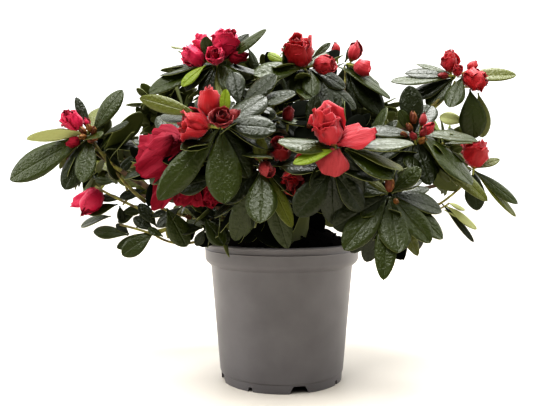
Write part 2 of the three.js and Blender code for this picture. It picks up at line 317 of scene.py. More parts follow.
class Pile:
    """Many small shapes gathered as arrays, to be made into one piece."""

    def __init__(self):
        self.copies = []
        self.total = 0

    def add(self, shape, points, finishes=0):
        """A copy of the shape with its points moved; finishes is the number of each face's material."""
        corners, counts = shape["corners"], shape["counts"]
        self.copies.append((points, shape["points"][corners][:, :2], corners + self.total, counts,
                            np.broadcast_to(finishes, counts.shape)))
        self.total += len(points)

    def made(self, name, materials, sharp=()):
        """The pile as one piece; faces of the materials numbered in sharp are shaded flat."""
        points, pattern, corners, counts, finishes = map(np.concatenate, zip(*self.copies))
        mesh = bpy.data.meshes.new(name)
        mesh.vertices.add(len(points))
        mesh.loops.add(len(corners))
        mesh.polygons.add(len(counts))
        mesh.vertices.foreach_set("co", (points * MM).ravel())
        mesh.loops.foreach_set("vertex_index", corners)
        mesh.polygons.foreach_set("loop_start", np.concatenate([[0], np.cumsum(counts)[:-1]]))
        mesh.polygons.foreach_set("material_index", finishes)
        mesh.polygons.foreach_set("use_smooth", ~np.isin(finishes, sharp))
        across = mesh.uv_layers.new(name="blade")
        across.data.foreach_set("uv", pattern.ravel())
        mesh.update(calc_edges=True)
        mesh.validate()
        for material in materials:
            mesh.materials.append(material)
        return placed(name, mesh)


def unit(vector):
    return vector / np.linalg.norm(vector)


def bent_tube(shape, line, radius):
    """The tube's points laid along line(t), t from 0 to 1, with radius(t, angle) about it."""
    x, y, t = shape["points"].T
    step = 1e-3
    along = line(t + step) - line(t - step)
    along /= np.linalg.norm(along, axis=1)[:, None]
    side = np.cross(along, [0.31, 0.17, 0.93])
    side /= np.linalg.norm(side, axis=1)[:, None]
    other = np.cross(along, side)
    reach = np.hypot(x, y) * radius(t, np.arctan2(y, x))
    turn = np.arctan2(y, x)
    return line(t) + (reach * np.cos(turn))[:, None] * side + (reach * np.sin(turn))[:, None] * other


def quadratic(start, middle, end):
    """The smooth line that leaves start towards middle and comes to end."""
    def line(t):
        t = np.asarray(t)[..., None]
        return (1 - t) ** 2 * start + 2 * t * (1 - t) * middle + t**2 * end
    return line


def limb_line(node):
    """A limb's middle line as quadratic(), and its radius at both ends, from the solid's own corners."""
    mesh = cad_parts[node].data
    corners = np.empty(len(mesh.vertices) * 3)
    mesh.vertices.foreach_get("co", corners)
    corners = corners.reshape(-1, 3) / MM
    middle = corners.mean(0)
    axis = np.linalg.svd(corners - middle, full_matrices=False)[2][0]
    reach = (corners - middle) @ axis
    ends = [corners[reach < reach.min() + LIMB_END].mean(0),
            corners[reach > reach.max() - LIMB_END].mean(0)]
    if np.linalg.norm(ends[0] - FORK) > np.linalg.norm(ends[1] - FORK):
        ends.reverse()
    start, end = ends
    span = end - start
    t = np.clip((corners - start) @ span / (span @ span), 0, 1)
    blend = 2 * t * (1 - t)
    rest = corners - ((1 - t) ** 2)[:, None] * start - (t**2)[:, None] * end
    pull = (rest * blend[:, None]).sum(0) / (blend**2).sum()
    line = quadratic(start, pull, end)
    off = np.linalg.norm(corners - line(t), axis=1)
    thick = np.median(off[t < 0.3]), np.median(off[t > 0.7])
    return start, pull, end, thick


trunk_low, trunk_high = (np.array(corner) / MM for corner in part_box("trunk"))
FORK = np.array([14, 0, trunk_high[2]])
TRUNK_FOOT = np.array([7, 2, trunk_low[2]])
TRUNK_FLARE = 11
TRUNK_RADIUS = 6.4


def barked(shape, line, radius, depth):
    """A bent tube whose surface stands out in ridges, by that share of its radius."""
    points = bent_tube(shape, line, radius)
    ridges = [noise.fractal(Vector((x / 4, y / 4, z / 14)), 1, 2, 4) * depth for x, y, z in points]
    return points + (points - line(shape["points"][:, 2])) * np.array(ridges)[:, None]


bark = finish_of("grey-brown bark", (66, 50, 36), 0.85)
blotches(bark, 5, 6, [(0.32, (36, 26, 18)), (0.68, (96, 76, 56))])
grained(bark, 700, 6, 0.7, stretch=(1, 1, 0.35))

trunk_line = quadratic(TRUNK_FOOT, TRUNK_FOOT + [1, 0, 14], FORK)
trunk_shape = tube_shape(28, 26)


def trunk_radius(t, turn):
    flare = (TRUNK_FLARE - TRUNK_RADIUS) * (1 - np.clip(t, 0, 1)) ** 3.5
    buttress = 1 + 0.16 * (1 - t) ** 2 * np.cos(5 * turn + 0.6)
    return (TRUNK_RADIUS + flare) * buttress * (1 - 0.35 * np.clip((t - 0.8) / 0.2, 0, 1) ** 2)


wood = Pile()
wood.add(trunk_shape, barked(trunk_shape, trunk_line, trunk_radius, 0.16))

limb_shape = tube_shape(BARK_SIDES, BARK_RINGS)
limb_nodes = [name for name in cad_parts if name.startswith(("bough_", "limb_"))]
limb_tips = []
limb_places = []
for node in sorted(limb_nodes):
    start, pull, end, (thick, thin) = limb_line(node)
    rooted = start - unit(pull - start) * ROOTED
    line = quadratic(rooted, pull, end + unit(end - pull) * OVERRUN)
    wood.add(limb_shape, barked(
        limb_shape, line, lambda t, turn: thick * 1.1 + (thin * 0.9 - thick * 1.1) * t, 0.2))
    limb_tips.append((end, unit(end - pull), thin * 0.9))
    limb_places += [line(t) for t in (0.5, 0.65, 0.8)]
bark_piece = wood.made("trunk_and_boughs", [bark])
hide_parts("trunk", *limb_nodes)
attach(bark_piece, "root")

# ---- Leaves ----
# Thick leathery evergreen blades, dark and glossy above and pale below, with a light rim and a sunken
# midrib. They stand in whorls at the ends of the twigs, each cut from the same blade and bent its own way.

LEAF_THICKNESS = 0.5
GOLDEN_ANGLE = 2.39996
ANY_TURN = 6.28
STALK_WIDTH = 1.2


def blade_shape(across, along):
    """A flat blade as a grid with thickness: x from -1 to 1 across, y from 0 to 1 along, z its two faces."""
    bm = bmesh.new()
    bmesh.ops.create_grid(bm, x_segments=across, y_segments=along, size=1)
    bmesh.ops.solidify(bm, geom=bm.faces[:], thickness=1)
    bmesh.ops.recalc_face_normals(bm, faces=bm.faces[:])
    level = sum(v.co.z for v in bm.verts) / len(bm.verts)
    for corner in bm.verts:
        t = (corner.co.y + 1) / 2
        corner.co.y = t - 0.1 * math.sin(2 * math.pi * t)
        corner.co.z -= level
    return shape_of(bm)


def leaf_outline(t):
    """Half the blade's width at t along it, as a share of the widest."""
    t = np.clip(t, 0, 1)
    return np.maximum(np.sin(math.pi * t**1.3), 0) ** 0.62 * t / (t + 0.14) / 0.84


def curled(along, outer, length, t, bend):
    """A blade curled down by bend: its run and drop from the foot at t, its way there and its top."""
    angle = bend * t
    run = length * t * np.sinc(angle / math.pi)
    drop = length * t * np.sin(angle / 2) * np.sinc(angle / 2 / math.pi)
    tip = np.cos(angle)[:, None] * along - np.sin(angle)[:, None] * outer
    over = np.sin(angle)[:, None] * along + np.cos(angle)[:, None] * outer
    return run[:, None] * along, drop[:, None] * outer, tip, over


def leaf_points(shape, foot, along, upper, length, width, bend, fold, roll, twist, wave):
    """One blade from its foot: bend curls it down over its length, fold lifts its halves from the
    midrib, roll turns its margins down, twist turns it about its length, and wave ruffles its margins."""
    u, t, face = shape["points"].T
    half = np.maximum(leaf_outline(t) * width / 2, STALK_WIDTH / 2 * (1 - t**8))
    across = u * half
    rise = fold * np.abs(across) - roll * across**2 / width
    rise = rise + wave * length * u**3 * np.sin(7 * t + 3 * wave / 0.01) * t
    run, drop, tip, over = curled(along, upper, length, t, bend)
    side = np.cross(tip, over)
    turn = twist * t
    flat = np.cos(turn)[:, None] * side + np.sin(turn)[:, None] * over
    lift = np.cos(turn)[:, None] * over - np.sin(turn)[:, None] * side
    return foot + run - drop + across[:, None] * flat + (rise + face * LEAF_THICKNESS)[:, None] * lift


def veined(material, relief_depth):
    """Raises a leaf's flesh between a sunken midrib and side veins, with a fine leathery grain."""
    where = add_node(material, "ShaderNodeTexCoord")
    parts = add_node(material, "ShaderNodeSeparateXYZ", [("Vector", where.outputs["UV"])])

    def maths(operation, *values):
        return add_node(material, "ShaderNodeMath", enumerate(values), operation=operation).outputs[0]

    aside = maths("ABSOLUTE", parts.outputs["X"])
    midrib = maths("SMOOTH_MIN", maths("MULTIPLY", aside, 9), 1, 0.5)
    slant = maths("MULTIPLY_ADD", aside, -11, maths("MULTIPLY", parts.outputs["Y"], 46))
    veins = maths("POWER", maths("ABSOLUTE", maths("SINE", maths("MULTIPLY", slant, 0.5))), 0.35)
    grain = add_node(material, "ShaderNodeTexNoise", [("Vector", where.outputs["Object"])], Scale=560,
                     Detail=3)
    dimples = add_node(material, "ShaderNodeTexNoise", [("Vector", where.outputs["Object"])], Scale=240,
                       Detail=2)
    height = maths("MULTIPLY_ADD", veins, 0.14, maths("MULTIPLY", midrib, 0.4))
    height = maths("MULTIPLY_ADD", grain.outputs["Fac"], 0.8, height)
    height = maths("MULTIPLY_ADD", dimples.outputs["Fac"], 0.6, height)
    relief(material, height, relief_depth)


LEAF_FINISHES = [
    finish_of("dark leaf", (33, 39, 7), 0.34, Specular_IOR_Level=0.4),
    finish_of("full green leaf", (47, 55, 10), 0.36, Specular_IOR_Level=0.42),
    finish_of("olive leaf", (80, 84, 22), 0.42),
    finish_of("young leaf", (108, 124, 20), 0.46),
    finish_of("leaf underside", (82, 88, 42), 0.6),
    finish_of("leaf rim", (98, 102, 56), 0.5),
    # Painted shade: a near-black, dull leaf put in the crown's inside, where it stands in for the shade that
    # falls there.
    finish_of("painted shade leaf", (14, 17, 5), 0.8, Specular_IOR_Level=0.05),
    finish_of("pale leaf", (168, 172, 118), 0.6),
]
DARK, GREEN, OLIVE, YOUNG, UNDERSIDE, RIM, PAINTED_SHADE_LEAF, PALE = range(8)
for leaf_finish in LEAF_FINISHES[:4]:
    veined(leaf_finish, 0.75)
veined(LEAF_FINISHES[UNDERSIDE], 0.2)
veined(LEAF_FINISHES[PALE], 0.2)

leaf_shape = blade_shape(4, 8)
fine_leaf_shape = blade_shape(6, 14)


def faces_of(shape, above):
    """The material number of each of a blade's faces: above on top, then the underside and the rim."""
    below = above if above in (PAINTED_SHADE_LEAF, PALE) else UNDERSIDE
    return np.select([shape["facing"] > 0.7, shape["facing"] < -0.7], [above, below], RIM)


def level_with(along, upper):
    """The part of upper that is square to along, as a unit."""
    return unit(upper - (upper @ along) * along)


# ---- Blooms and buds ----
# Double flowers: petals of thin satin tissue in close turns round the middle, ruffled at their ends and
# held in a small green-tan calyx on a short stalk. Closed buds are the same petals wrapped tight.

PETAL_THICKNESS = 0.3
CALYX_LOBES = 5
SCALE_COUNT = 9


def ramp(value, start, span, power=1, most=1):
    """0 up to start, then rising to 1 over that span by the given power, and on as far as most."""
    return np.clip((value - start) / span, 0, most) ** power


def crumple(u, t, phase):
    """Creases all over a petal, from about -1 to 1."""
    return (np.sin(7 * u + 4 * t + phase) * np.sin(10 * t - 3 * u + 2 * phase)
            + 0.6 * np.sin(13 * u - 5 * t + 2 * phase) * np.sin(8 * t + phase))


def petal_points(shape, dice, turn, length, width, swell, side, close, rim, ruffle, crease=0.0):
    """One petal about the flower's axis, z: it swells out of the calyx over that share of its length,
    stands at side degrees from the axis, leans in by close and turns out by rim degrees at its lip.
    ruffle waves its lip, crease crumples it all over, both as shares of its length."""
    u, t, face = shape["points"].T
    phase, skew = dice.random() * ANY_TURN, dice.uniform(-0.07, 0.07)
    reach = 1 - 0.2 * np.abs(u) ** 2.8 + skew * u + 0.5 * ruffle * np.sin(7 * u + phase)
    t = t * reach
    path = np.linspace(0, 1.2, 49)
    lean = side + (82 - side) * np.clip(1 - path / swell, 0, 1) ** 1.1
    lean = lean - close * ramp(path, 0.4, 0.4, 1.2)
    lean = np.radians(lean + rim * ramp(path, 0.74, 0.26, 1.3, 1.4))
    spacing = length * (path[1] - path[0])
    out = np.concatenate([[0], np.cumsum(np.sin(lean[1:]) * spacing)])
    up = np.concatenate([[0], np.cumsum(np.cos(lean[1:]) * spacing)])
    radius = np.interp(t, path, out)
    height = np.interp(t, path, up)
    slope = np.interp(t, path, lean)
    half = width / 2 * (0.25 + 0.75 * np.sin(np.clip(t / 0.6, 0, 1) * math.pi / 2))
    swing = turn + 0.7 * t + u * np.minimum(half / (np.maximum(radius, 0) + 1.5), 1.7)
    fold = np.sin(5 * u + phase + 2 * t) + 0.5 * np.sin(11 * u - phase)
    push = ruffle * length * ramp(t, 0.4, 0.6, 1.4, 1.3) * fold
    push = push + crease * length * crumple(u, t, phase) * ramp(t, 0, 0.3)
    push = push + 0.05 * length * np.abs(u) ** 3 * t + face * PETAL_THICKNESS
    radius = radius + 0.3 + push * np.cos(slope)
    height = height - push * np.sin(slope)
    return np.stack([radius * np.cos(swing), radius * np.sin(swing), height], axis=1)


def loose_petal_points(shape, dice, foot, along, outer, length, width, cup, bend, ruffle, crease):
    """One wide open petal seen on its own: cup raises its sides, bend curls it over towards outer."""
    u, t, face = shape["points"].T
    phase = dice.random() * ANY_TURN
    reach = np.sqrt(1 - 0.62 * u**2) + 0.7 * ruffle * np.sin(8 * u + phase)
    t = t * reach
    half = width / 2 * (0.25 + 0.75 * np.sin(np.clip(t / 0.55, 0, 1) * math.pi / 2) ** 1.2)
    across = u * half
    rise = cup * across**2 / width - 0.05 * width * np.exp(-((u / 0.1) ** 2)) * t
    frill = np.sin(6 * u + phase) + 0.7 * np.sin(12 * u - phase)
    rise = rise + ruffle * length * t**2 * frill + crease * length * crumple(u, t, phase)
    run, drop, _, over = curled(along, outer, length, t, bend)
    side = np.cross(along, outer)
    return foot + run - drop + across[:, None] * side + (rise + face * PETAL_THICKNESS)[:, None] * over


def stood(points, foot, axis):
    """Points about the z axis, stood at foot with z along axis."""
    side = unit(np.cross(axis, [0.21, 0.9, 0.38]))
    return foot + points @ np.stack([side, np.cross(axis, side), axis])


SATIN = {"Sheen_Weight": 0.2, "Sheen_Roughness": 0.4}
DEEP_SATIN = {"Sheen_Weight": 0.15, "Sheen_Roughness": 0.4}
PETAL_FINISHES = [
    finish_of("red petal", (150, 5, 22), 0.55, **DEEP_SATIN),
    finish_of("coral petal", (162, 38, 48), 0.55, **SATIN),
    finish_of("magenta petal", (178, 20, 68), 0.55, **SATIN),
    finish_of("deep red petal", (116, 10, 16), 0.55, **DEEP_SATIN),
    finish_of("wine petal", (122, 14, 40), 0.7, Specular_IOR_Level=0.25),
    finish_of("faded petal", (142, 48, 50), 0.6, **SATIN),
    finish_of("calyx", (122, 84, 40), 0.6),
    finish_of("bud scale", (104, 58, 36), 0.6),
]
RED, CORAL, MAGENTA, DEEP, WINE, FADED, CALYX, SCALE = range(8)
for petal_finish in PETAL_FINISHES[:CALYX]:
    grained(petal_finish, 1.6, 4, 0.7, space="UV", stretch=(4.5, 0.8, 1))

petal_shape = blade_shape(5, 6)
fine_petal_shape = blade_shape(8, 8)
scale_shape = blade_shape(2, 4)
twig_shape = tube_shape(6, 7)


def add_twig(pile, start, middle, end, thick, thin):
    line = quadratic(start, middle, end)
    pile.add(twig_shape, bent_tube(twig_shape, line, lambda t, turn: thick + (thin - thick) * t))


def add_bloom(piles, dice, foot, axis, size, openness, colour, shape=petal_shape):
    """A flower or bud of that length whose stalk is at foot; openness runs from 0, a bud, to 1."""
    ajar = min(openness * 3, 1)
    swell = 0.38 + 0.16 * ajar
    count = int(round(5 + 8 * ajar + 3 * openness))
    turn = dice.random() * 7
    neck = foot + axis * size * 0.08
    for index in range(count):
        outer = (index + 1) / count
        side = 4 + 6 * outer + 46 * openness**1.4 * outer**1.2 + dice.uniform(-4, 4)
        close = 74 - 20 * ajar - 40 * openness * outer + dice.uniform(-8, 8)
        rim = (26 + 40 * outer + dice.uniform(-16, 22)) * ajar
        length = size * (1.06 - 0.1 * outer) * dice.uniform(0.86 - 0.26 * outer * ajar, 1.06)
        width = size * (0.8 + 0.34 * openness + dice.uniform(0, 0.2))
        ruffle = (0.012 + 0.05 * ajar) * dice.uniform(0.7, 1.4)
        points = petal_points(shape, dice, turn + index * GOLDEN_ANGLE, length, width,
                              swell, side, close, rim, ruffle, 0.012 + 0.05 * ajar)
        points[:, :2] *= 0.42 + 0.58 * outer
        shade = colour
        if dice.random() < 0.3:
            shade = {RED: CORAL, CORAL: FADED}.get(colour, colour)
        # Painted shade: the petals inside the cup take a darker finish than the outer ones, for the shade
        # that falls in the cup.
        if outer < 0.36 and openness > 0.1:
            shade = {RED: DEEP, CORAL: RED, MAGENTA: WINE}.get(colour, colour)
        piles["blooms"].add(shape, stood(points, neck, axis), shade)
    for index in range(CALYX_LOBES):
        points = petal_points(scale_shape, dice, turn + index * 1.257, size * 0.42, size * 0.3,
                              swell, 6, 10, 10, 0)
        points[:, :2] *= 1.05
        piles["blooms"].add(scale_shape, stood(points, foot + axis * size * 0.03, axis), CALYX)
    add_twig(piles["stalks"], foot - axis * 5, foot, foot + axis * size * 0.14, 0.8, 1.1)


def add_scales(piles, dice, foot, axis, size, colour):
    """The pointed scales of a closed shoot bud, or those that a flower bud leaves round its foot."""
    for index in range(SCALE_COUNT):
        outer = (index + 1) / SCALE_COUNT
        points = petal_points(scale_shape, dice, index * GOLDEN_ANGLE, size * (1.1 - 0.4 * outer),
                              size * 0.42, 0.34, 3 + 13 * outer, 36, 8 * outer, 0)
        shade = CALYX if index % 3 == 1 else colour
        piles["blooms"].add(scale_shape, stood(points, foot, axis), shade)


# ---- Growth of the crown ----
# Every mass of foliage is a spray of twigs that fork from the limb's end, each with a whorl of leaves at
# its tip and a few below. The front sprays are laid leaf by leaf, the rest grow by a seeded rule.

NEEDED_ROOM = 0.8  # the share of a grown leaf that has to stay within its mass
LEAF_SPACING = 11  # along a twig, below its whorl
WHORL_LEAVES = (9, 13)
LAID_TWIG, FREE_TWIG = 1.5, 1.3  # the thickest that a twig to a spray may be
SPREAD = 1.35  # how far round a mass its free twigs reach; 2 would be all the way
LARGE_FLOWER = 17  # flowers longer than this have the finer petals
FRONT = np.array([0.0, -1.0, 0.0])
RIGHT = np.array([1.0, 0.0, 0.0])
UP = np.array([0.0, 0.0, 1.0])


def aimed(angle, lean):
    """A direction seen from the front: degrees round from the right, and degrees out towards the front."""
    angle, lean = math.radians(angle), math.radians(lean)
    across = math.cos(angle) * RIGHT + math.sin(angle) * UP
    return math.cos(lean) * across + math.sin(lean) * FRONT


def facing_front(along, facing):
    """The upper side of a blade along that way, turned that many degrees from the sky to the front."""
    turned = math.radians(facing)
    return level_with(along, math.cos(turned) * UP + math.sin(turned) * FRONT)


def laid_leaf(pile, dice, foot, angle, lean, length, width, facing, colour, shift=(0, 0, 0)):
    """One listed leaf. Its length and width are as seen from the front; shift moves its foot from the
    shoot's end."""
    foot = foot + np.array(shift)
    along = aimed(angle, lean)
    upper = facing_front(along, facing)
    true_length = length / max(math.cos(math.radians(lean)), 0.4)
    width = min(width / max(abs(upper @ FRONT), 0.3), 0.56 * true_length)
    points = leaf_points(fine_leaf_shape, foot + along * 1.5, along, upper, true_length, width,
                         dice.uniform(0.05, 0.45), dice.uniform(0.1, 0.32), dice.uniform(0.2, 0.8),
                         dice.uniform(-0.2, 0.2), dice.uniform(0.004, 0.012))
    pile.add(fine_leaf_shape, points, faces_of(fine_leaf_shape, colour))


def room_ahead(room, foot, along):
    """How far a leaf can reach from its foot before it leaves the mass, a middle and half its sizes."""
    middle, half = room
    start, step = (foot - middle) / half, along / half
    a, b, c = step @ step, start @ step, start @ start - 1.15
    return (-b + math.sqrt(max(b * b - a * c, 0))) / a


def grown_leaf(pile, dice, room, foot, along, upper, length, colour):
    bend = dice.uniform(-0.1, 0.75)
    width = length * dice.uniform(0.36, 0.46)
    points = leaf_points(leaf_shape, foot, along, upper, length, width, bend, dice.uniform(0.05, 0.4),
                         dice.uniform(0.1, 0.9), dice.uniform(-0.35, 0.35), dice.uniform(0.002, 0.012))
    if room_ahead(room, foot, along) > NEEDED_ROOM * length:
        pile.add(leaf_shape, points, faces_of(leaf_shape, colour))


def grown_whorl(pile, dice, room, tip, axis, count, longest, painted_shade_whorl=False):
    """Leaves round a twig's tip: small and upright inside, long and spread outside."""
    side = unit(np.cross(axis, [0.4, 0.3, 0.86]))
    other = np.cross(axis, side)
    first = dice.random() * ANY_TURN
    for index in range(count):
        outer = (index + 0.5) / count
        turn = first + index * GOLDEN_ANGLE
        lean = math.radians(26 + 92 * outer + dice.uniform(-12, 12))
        out = math.cos(turn) * side + math.sin(turn) * other
        along = unit(math.cos(lean) * axis + math.sin(lean) * out + [0, 0, -0.12 * outer])
        upper = level_with(along, axis + 0.35 * UP + dice.uniform(-0.25, 0.25, 3))
        length = longest * (0.42 + 0.58 * outer**0.7) * dice.uniform(0.85, 1.1)
        odds = dice.random()
        colour = DARK if odds < 0.5 else GREEN if odds < 0.88 else OLIVE
        # Painted shade: in these whorls most leaves that face the front take the near-black painted-shade
        # finish.
        if painted_shade_whorl and abs(upper @ FRONT) > 0.4:
            colour = PAINTED_SHADE_LEAF if odds < 0.7 else DARK
        elif not painted_shade_whorl and outer < 0.3 and odds < 0.3:
            colour = YOUNG
        if not (painted_shade_whorl and along @ FRONT > 0.3):
            grown_leaf(pile, dice, room, tip - axis * (1 + 7 * outer), along, upper, length, colour)


def grown_twig(piles, dice, room, start, way, tip, axis, thick, leafy=True):
    """A twig from start to tip that leaves along way and comes in along axis, with leaves on it."""
    span = np.linalg.norm(tip - start)
    middle = (start + way * span * 0.45 + tip - axis * span * 0.4) / 2
    add_twig(piles["twigs"], start - way * 1.5, middle, tip, thick, 0.8)
    line = quadratic(start, middle, tip)
    for _ in range(int(span / LEAF_SPACING) if leafy else 0):
        t = dice.uniform(0.2, 0.72)
        foot = line(t)
        forward = unit(line(t + 0.02) - line(t - 0.02))
        out = unit(np.cross(forward, dice.normal(size=3)))
        along = unit(0.5 * forward + out)
        upper = level_with(along, forward + 0.5 * UP + dice.uniform(-0.2, 0.2, 3))
        colour = DARK if dice.random() < 0.75 else GREEN
        grown_leaf(piles["leaves"], dice, room, foot, along, upper, dice.uniform(24, 38), colour)


# S is the near-black painted-shade leaf, laid where the crown's inside falls in shade.
D, G, O, Y, P, S = DARK, GREEN, OLIVE, YOUNG, PALE, PAINTED_SHADE_LEAF

sprays = {}


def lay_spray(mass, offset, way, leaves, flowers=(), loose_petals=()):
    """Plans one spray: its place from the mass's middle and its shoot's way (angle, lean). Leaves are
    (angle, lean, length, width, facing, colour, shift), flowers (shift, angle, lean, size, openness,
    colour) and loose petals (shift, angle, lean, length, width, facing, colour)."""
    sprays.setdefault(mass, []).append((offset, way, leaves, flowers, loose_petals))


lay_spray("left_tip", (9, 0, 4), (110, 20), [
    (205, 5, 70, 23, 62, G), (176, 2, 45, 9, -40, P, (0, -3, 1)), (59, 0, 41, 15, 75, G),
    (111, 5, 30, 8, 70, D), (-94, 28, 33, 15, 72, G), (-115, 12, 43, 20, 66, D), (82, -45, 28, 15, 20, O),
    (-140, -40, 20, 8, 20, D), (37, 10, 21, 5, 35, D, (10, -4, -1)),
], [
    ((-6, -3, 4), 132, 20, 20, 0.4, MAGENTA), ((-7, -4, -2), 214, 15, 13, 0.25, WINE),
    ((-3, 1, 6), 100, 10, 10, 0, MAGENTA), ((2, -3, 0), 70, 30, 9, 0, SCALE),
    ((-1, -4, -2), -40, 40, 9, 0, SCALE), ((-3, -3, 1), 130, 35, 9, 0, SCALE),
    ((1, -6, 3), 95, 50, 8, 0, CALYX), ((3, -6, -3), 10, 50, 8, 0, SCALE),
    ((-2, -7, -1), 200, 60, 8, 0, CALYX), ((-14, 18, -19), 170, 0, 12, 0.2, MAGENTA),
])
lay_spray("left_tip", (18, 0, -7), (110, 10), [
    (49, -20, 38, 17, -35, O), (-60, -20, 24, 12, 40, D), (20, -30, 26, 12, 30, D),
])
lay_spray("left_low", (10, 0, -9), (170, 10), [
    (194, 5, 27, 9, 50, G), (15, 5, 18, 9, 60, G, (0, 0, -8)), (193, -10, 29, 7, 28, G, (-6, 0, -10)),
    (198, 5, 18, 8, 50, G, (16, 0, -7)), (173, 0, 20, 7, 55, D, (4, 0, 4)), (-80, 10, 14, 7, 40, D),
], [
    ((-14, -2, 14), -126, 10, 33, 0.14, MAGENTA),
], [
    ((-17, -3, 13), -150, 0, 28, 13, 60, MAGENTA),
])
lay_spray("left_low", (16, -12, 12), (120, 10), [
    (150, 8, 26, 14, 70, O, (19, 0, -8)), (194, 10, 21, 9, 60, D, (19, 2, -9)),
    (-60, 0, 24, 11, 70, O, (8, 2, 6)), (-132, 10, 20, 8, 60, D, (12, 0, 22)),
    (150, -5, 28, 12, 22, O, (-2, 6, 2)), (170, 0, 16, 8, 60, G, (-6, 0, -3)),
])
lay_spray("left_spray", (20, 0, -2), (160, 10), [
    (143, 5, 20, 9, 55, D), (-148, 15, 30, 15, 66, G), (-159, 0, 33, 10, 60, G),
    (35, 0, 15, 6, 50, D, (-6, 0, 10)), (125, 5, 24, 10, 60, D, (2, 0, 3)),
    (60, 0, 16, 8, 60, D, (-16, 0, 2)),
])
lay_spray("left_spray", (-1, 2, -5), (175, 5), [
    (167, 8, 29, 10, 55, G), (140, -10, 14, 6, 40, D),
])
lay_spray("left_spray", (28, -4, -6), (170, 10), [
    (150, 0, 14, 7, 40, G),
])
lay_spray("front_left", (6, -2, 11), (80, 55), [
    (163, -4, 43, 11, 86, O, (-10, -5, 5)), (86, 14, 20, 7, 70, Y, (2, -6, 0)), (0, 10, 33, 17, 60, D),
    (-131, 12, 59, 18, 76, G), (-87, 16, 47, 23, 80, G), (-60, 2, 36, 15, 40, D), (-48, -12, 34, 14, 55, D),
    (159, -24, 42, 15, 32, D, (0, -4, 0)), (-112, -18, 41, 17, 60, D), (-20, -15, 36, 16, 40, D),
    (40, -25, 34, 16, 30, D), (195, 0, 26, 15, 70, D, (-3, 6, -33)),
], [
    ((-6, -1, 4), 96, 12, 22, 0.22, RED), ((-6, -2, -1), 172, 12, 22, 0.5, RED),
    ((1, -6, 0), 80, 62, 14, 0.6, DEEP), ((4, -4, 4), 28, 25, 13, 0.05, DEEP),
    ((5, -5, 4), 40, 40, 7, 0, SCALE),
])
lay_spray("left_bloom", (18, -6, 14), (150, 40), [
    (120, -20, 30, 14, 30, D), (60, -10, 26, 12, 30, D), (-70, -30, 34, 15, 60, D),
    (190, -35, 36, 14, 20, D), (-20, -20, 30, 14, 50, D),
], [
    ((4, 2, 2), -170, 10, 30, 0.55, WINE), ((8, 2, -20), -100, 10, 22, 0.4, WINE),
    ((20, -4, -20), -80, 20, 22, 0.45, WINE),
], [
    ((4, -2, 4), 160, 10, 24, 20, 60, WINE), ((0, -6, 0), -166, 14, 33, 22, 74, WINE),
    ((2, -9, 2), -143, 22, 36, 22, 84, WINE), ((2, -6, -4), -118, 12, 44, 18, 70, WINE),
    ((-2, -3, 4), 178, 0, 28, 20, 50, WINE), ((10, -4, -20), -125, 10, 24, 17, 66, WINE),
    ((12, -3, -22), -85, 12, 20, 18, 74, WINE), ((-3, -12, 6), -152, 20, 22, 16, 66, WINE),
])
lay_spray("top_left", (5, 0, 1), (90, 20), [
    (97, 30, 15, 9, 72, G, (-5, -6, 1)), (47, -5, 33, 9, 60, D), (34, 14, 43, 9, 46, G),
    (186, -5, 43, 7, 8, D), (196, 8, 54, 14, 44, G), (218, 18, 23, 8, 55, Y, (-6, -9, -1)),
    (152, -20, 16, 9, 10, O, (-20, 4, 10)), (-52, 30, 30, 22, 52, G, (0, -2, 3)), (-72, 20, 26, 13, 50, G),
    (-62, -5, 17, 9, 30, G, (23, 4, 14)), (-112, 15, 26, 14, 50, D), (-80, 38, 26, 5, 70, O),
    (176, -20, 34, 12, 30, D), (-3, -28, 32, 14, 30, D), (-150, 2, 30, 14, 45, D),
], [
    ((-7, -3, 2), 166, 10, 21, 0.4, MAGENTA), ((-5, 0, 6), 118, 5, 21, 0.3, MAGENTA),
    ((1, -1, 4), 66, 10, 26, 0.62, MAGENTA), ((1, -8, 0), 94, 62, 17, 0.6, MAGENTA),
    ((8, -2, 4), 8, 12, 19, 0.15, WINE), ((1, -8, 5), 90, 40, 7, 0, CALYX),
])
lay_spray("middle", (-15, -8, -2), (60, 35), [
    (17, 10, 37, 15, 34, D), (47, 2, 32, 18, 42, D), (150, 5, 26, 13, 30, D), (100, -10, 26, 13, 40, D),
    (-10, -12, 34, 15, 40, D), (-60, -20, 30, 14, 50, D),
])
lay_spray("middle", (12, -6, -9), (70, 40), [
    (-8, 12, 19, 9, 26, G, (-5, -2, 1)), (30, -20, 28, 14, 60, S), (140, -20, 26, 12, 30, D),
    (-40, -10, 30, 14, 50, D), (-160, -10, 24, 12, 40, D),
], [
    ((5, -2, -3), 84, 15, 14, 0.15, DEEP),
])
lay_spray("middle", (0, -6, -18), (110, 30), [
    (-92, 15, 17, 14, 80, O, (0, -26, 0)), (-60, -10, 26, 13, 60, D), (-20, -10, 24, 12, 40, D),
])
lay_spray("top_middle", (3, 0, 1), (85, 20), [
    (188, 18, 36, 17, 52, G, (-2, -10, -1)), (-84, 44, 18, 20, 62, G, (1, -6, -1)),
    (-127, 36, 20, 12, 52, G), (-37, 10, 45, 14, 42, D), (150, 5, 14, 9, 60, Y, (-16, 0, 4)),
    (40, 8, 17, 5, 62, G, (2, -4, 6)), (64, -45, 26, 12, 20, G), (-150, 20, 30, 14, 48, D),
    (-20, 5, 30, 13, 40, D), (174, -30, 34, 14, 20, D), (-65, 24, 38, 14, 55, D),
], [
    ((-2, -2, 0), 114, 30, 27, 0.55, RED), ((3, -4, 1), 6, 22, 20, 0.3, RED),
])
